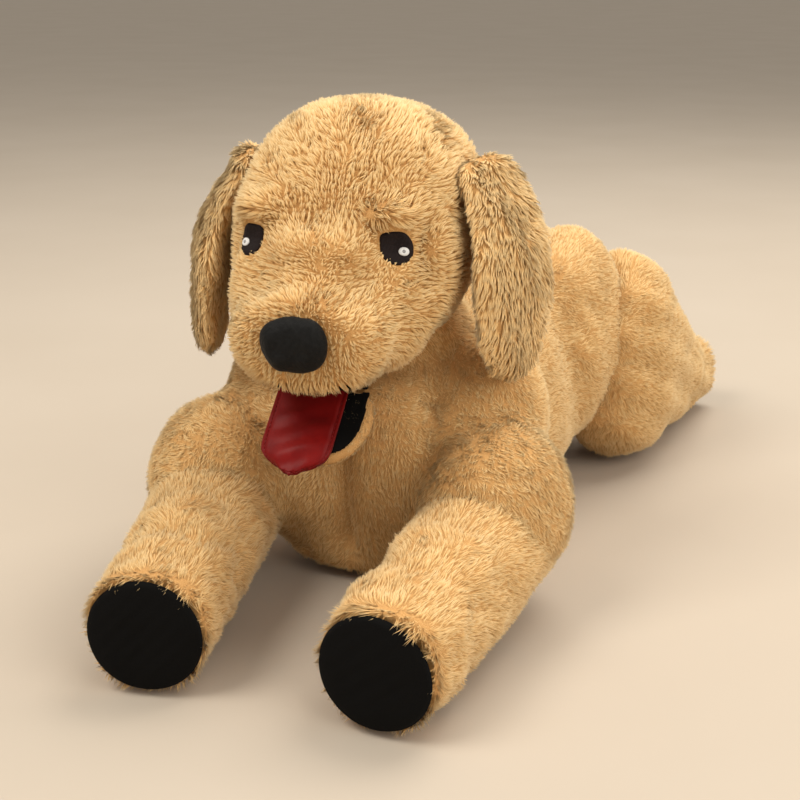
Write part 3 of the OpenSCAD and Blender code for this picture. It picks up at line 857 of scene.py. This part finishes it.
for node, body in (("mouth_lining", "head"), ("jaw_lining", "jaw")):
    lining = stuffed(node + "_cloth", (node,), 0.0016, 4)
    shape(lining, lambda p: 0.0006 * soft_noise(p, 0.02, 16)[:, 0])
    if body == "head":
        narrow(lining, 0.72)
    dress(lining, BLACK_NAP, "mouth_fabric", body, node)

jaw = stuffed("jaw_skin", ("jaw",), 0.003, 5)
shape(jaw, lambda p: np.full(len(p), -0.001))
JAW_UP = unit((middle("tongue_upper") - middle("jaw"))[None] * (0, 0, 1) + 0.9 * HEAD_FRONT)[0]
cover_skin(jaw, "jaw", ("jaw",),
           plush(toward(*(HEAD_FRONT - 0.9 * UP)), length=even(0.0042), density=500000,
                 cover=lambda p, n: n @ JAW_UP < 0.80, width=0.0011), 71)


TONGUE_THICKNESS = 0.0030


def build_tongue():
    """Two satin layers sewn round the edge, lying along the jaw and drooping over its tip."""
    upper = node_points("tongue_upper")
    root = joint_place("tongue_lift")
    jaw_down = unit((upper[np.argmax(np.linalg.norm(upper - root, axis=1))] - root)[None])[0]
    down = unit((jaw_down - HEAD_LEFT * (jaw_down @ HEAD_LEFT))[None])[0]
    out = np.cross(HEAD_LEFT, down)
    if out @ HEAD_FRONT < 0:
        out = -out
    spans = (upper - root) @ down
    sides = (upper - root) @ HEAD_LEFT
    start, end = spans.min(), spans.max()
    centre, half = (sides.min() + sides.max()) / 2, (sides.max() - sides.min()) / 2
    level = ((upper - root) @ out).max()
    rows, columns = 64, 48
    s = np.linspace(0, 1, rows)[:, None]
    c = np.linspace(-1, 1, columns)[None, :]
    length = end - start
    tip = smoothstep(0.62, 1.0, s)
    reach = start + length * s * (1 - 0.10 * tip * c ** 2 + 0.006 * np.cos(c * 13) * tip)
    across = centre + half * c * np.sqrt(np.clip(1 - (np.clip(s - 0.55, 0, 1) / 0.455) ** 3.4, 0.03, 1))
    edge = np.maximum(np.abs(c), s ** 6)
    folds = 0.0005 * np.sin(s * 27 + 1.9 * np.sin(c * 2.2) + 1.1 * c) + 0.0007 * np.sin(s * 11 + 2.5 * c)
    folds = folds * (1 - edge ** 4) * smoothstep(0.05, 0.35, s)
    cup = -0.004 * c ** 2 - 0.004 * smoothstep(0.7, 1.0, s)
    seam = -0.0016 * np.exp(-((edge - 0.90) / 0.035) ** 2)
    rise = level + folds + cup + seam + 0.001
    grid = root + reach[..., None] * down + across[..., None] * HEAD_LEFT + rise[..., None] * out
    top = grid.reshape(-1, 3)
    under = top - TONGUE_THICKNESS * out
    faces = []
    for i in range(rows - 1):
        for j in range(columns - 1):
            a = i * columns + j
            faces.append((a, a + 1, a + columns + 1, a + columns))
    flat = len(faces)
    count = rows * columns
    border = list(range(columns))
    border += [i * columns + columns - 1 for i in range(1, rows)]
    border += [(rows - 1) * columns + j for j in range(columns - 2, -1, -1)]
    border += [i * columns for i in range(rows - 2, 0, -1)]
    for face in faces[:flat]:
        faces.append(tuple(v + count for v in reversed(face)))
    for a, b in zip(border, border[1:] + border[:1]):
        faces.append((b, a, a + count, b + count))
    tongue = add_mesh("tongue_cloth", np.concatenate([top, under]), faces)
    bm = bmesh.new()
    bm.from_mesh(tongue.data)
    bmesh.ops.recalc_face_normals(bm, faces=bm.faces)
    bm.to_mesh(tongue.data)
    bm.free()
    smooth_shading(tongue)
    dress(tongue, SATIN, "satin", "tongue", "tongue_upper", "tongue_under")
    build_stitches(grid, out)


def build_stitches(grid, out):
    """A row of short threads just inside the tongue's edge."""
    rows, columns = grid.shape[:2]
    inner = 2
    path = [grid[i, inner] for i in range(6, rows - inner)]
    path += [grid[rows - 1 - inner, j] for j in range(inner, columns - inner)]
    path += [grid[i, columns - 1 - inner] for i in range(rows - inner - 1, 5, -1)]
    path = np.array(path)
    steps = np.concatenate([[0], np.cumsum(np.linalg.norm(np.diff(path, axis=0), axis=1))])
    vertices, faces = [], []
    pitch, stitch, radius, above = 0.0040, 0.0028, 0.00055, 0.0004
    for k in range(int(steps[-1] / pitch)):
        ends = [np.array([np.interp(k * pitch + extra, steps, path[:, a]) for a in range(3)])
                for extra in (0.0, stitch)]
        along = unit((ends[1] - ends[0])[None])[0]
        side = np.cross(along, out)
        base = len(vertices)
        for f, scale in ((0.0, 0.35), (0.25, 1.0), (0.75, 1.0), (1.0, 0.35)):
            centre = ends[0] + (ends[1] - ends[0]) * f + out * above
            for q in range(6):
                angle = math.pi * q / 3
                vertices.append(centre + radius * scale * (side * math.cos(angle) + out * math.sin(angle)))
        for ring in range(3):
            for q in range(6):
                a, b = base + ring * 6 + q, base + ring * 6 + (q + 1) % 6
                faces.append((a, a + 6, b + 6, b))
        faces.append(tuple(base + q for q in range(6)))
        faces.append(tuple(base + 18 + q for q in range(5, -1, -1)))
    stitches = add_mesh("tongue_stitches", vertices, faces)
    dress(stitches, SEAM_THREAD, "satin", "tongue")


build_tongue()


# ---------------------------------------------------------------- eyes
def disc_on(tree, centre, normal, right, outline, rings, spokes, height, ridge, pitch, thick=0.0012):
    """A patch laid on a skin: outline gives its reach at each angle, ridge its thread relief."""
    up = np.cross(normal, right)
    flat = disc_points(rings, spokes, outline)
    share = np.concatenate([[0.0], np.repeat(np.arange(1, rings + 1) / rings, spokes)])
    base = []
    for a, b in flat:
        start = centre + a * right + b * up + 0.03 * normal
        hit = tree.ray_cast(Vector(start), Vector(-normal), 0.06)[0]
        base.append(np.array(hit) if hit is not None else start - 0.03 * normal)
    base = np.array(base)
    level = (base - centre) @ normal
    level = np.clip(level, np.median(level) - 0.003, np.median(level) + 0.003)
    place = centre + flat[:, :1] * right + flat[:, 1:] * up + level[:, None] * normal
    relief = ridge * np.abs(np.sin(math.pi * (flat[:, 0] + 0.25 * flat[:, 1]) / pitch))
    rise = height * np.sqrt(np.clip(1 - share ** 6, 0, 1)) + relief * (share < 0.97)
    front = place + rise[:, None] * normal
    back = place - thick * normal
    return np.concatenate([front, back]), disc_faces(rings, spokes)


def build_eye(side, sign):
    """An embroidered eye laid on the head's skin, with a white glint and a grey dot in it."""
    skin = BVHTree.FromPolygons([tuple(v) for v in mesh_points(head.data)],
                                [tuple(p.vertices) for p in head.data.polygons])
    points = node_points(f"eye_{side}")
    axes = np.linalg.svd(points - points.mean(0), full_matrices=False)[2]
    normal = axes[2] if axes[2] @ (EYES[side] - in_head(0, 0.30, 0.05)) > 0 else -axes[2]
    outward = unit((sign * HEAD_LEFT - normal * (sign * HEAD_LEFT @ normal))[None])[0]
    up = np.cross(normal, outward)
    if up[2] < 0:
        up = -up
    turned = outward if np.cross(normal, outward)[2] > 0 else -outward
    flip = 1 if turned @ outward > 0 else -1

    def leaf(angle):
        """Rounded, with a soft corner up towards the nose."""
        corner = math.radians(142) if flip > 0 else math.radians(38)
        off = math.atan2(math.sin(angle - corner), math.cos(angle - corner))
        low = math.atan2(math.sin(angle - corner - math.pi), math.cos(angle - corner - math.pi))
        return 0.0135 * (1 + 0.26 * math.exp(-(off / 0.42) ** 2) + 0.05 * math.exp(-(low / 0.6) ** 2))

    vertices, faces = disc_on(skin, EYES[side], normal, turned, leaf, 56, 150, 0.0016, 0.00035, 0.0011)
    eye = add_mesh(f"eye_{side}_embroidery", vertices, faces)
    dress(eye, THREAD, "eye_thread", "head", f"eye_{side}")
    spot = EYES[side] + 0.0058 * outward - 0.0020 * up
    vertices, faces = disc_on(skin, spot, normal, turned, lambda a: 0.0042 + 0.0005 * math.cos(2 * a),
                              14, 48, 0.0028, 0.0002, 0.0009, 0.0004)
    glint = add_mesh(f"glint_{side}_embroidery", vertices, faces)
    dress(glint, WHITE_THREAD, "white_thread", "head", f"glint_{side}")
    vertices, faces = disc_on(skin, spot, normal, turned, lambda a: 0.0017,
                              8, 32, 0.0034, 0.0001, 0.0009, 0.0002)
    dot = add_mesh(f"glint_{side}_dot", vertices, faces)
    dress(dot, GREY_THREAD, "white_thread", "head")


for side, sign in SIDES.items():
    build_eye(side, sign)


# ---------------------------------------------------------------- camera, light and floor
CAMERA_PLACE = (0.422, -1.258, 0.547)
CAMERA_DOWN = 18        # degrees below level
CAMERA_TURN = 21        # degrees round towards the dog's left
CAMERA_LENS = 61.74
LAMPS = (               # name, place, size and power
    ("key", (-1.1, -1.5, 2.4), 1.3, 47),
    ("fill", (2.6, -1.3, 1.8), 2.5, 52),
    ("back", (0.6, 1.2, 2.6), 2.0, 60),
)


def set_the_stage():
    bpy.ops.mesh.primitive_plane_add(size=80, location=(0, 0, -0.0005))
    floor = bpy.context.object
    floor.name = "floor"
    cloth = cloth_material("floor_cloth", (0.55, 0.475, 0.39), (0.53, 0.455, 0.37), 3, 0.1, 0.95, 0.0,
                           (1.0, 1.0, 1.0))
    floor.data.materials.append(cloth)
    world = bpy.data.worlds.new("studio")
    world.use_nodes = True
    background = world.node_tree.nodes["Background"]
    background.inputs[0].default_value = (1.0, 0.96, 0.90, 1)
    background.inputs[1].default_value = 0.50
    bpy.context.scene.world = world
    for name, place, size, power in LAMPS:
        light = bpy.data.lights.new(name, "AREA")
        light.size = size
        light.energy = power
        light.color = (1.0, 0.95, 0.87)
        lamp = bpy.data.objects.new(name, light)
        lamp.location = place
        aim = Vector((0, 0, 0.15)) - Vector(place)
        lamp.rotation_euler = aim.to_track_quat("-Z", "Y").to_euler()
        bpy.context.collection.objects.link(lamp)
    camera = bpy.data.cameras.new("camera")
    camera.lens = CAMERA_LENS
    camera.sensor_width = 36
    viewer = bpy.data.objects.new("camera", camera)
    viewer.location = CAMERA_PLACE
    viewer.rotation_euler = (math.radians(90 - CAMERA_DOWN), 0, math.radians(CAMERA_TURN))
    bpy.context.collection.objects.link(viewer)
    bpy.context.scene.camera = viewer
    bpy.context.scene.view_settings.view_transform = "Standard"


set_the_stage()
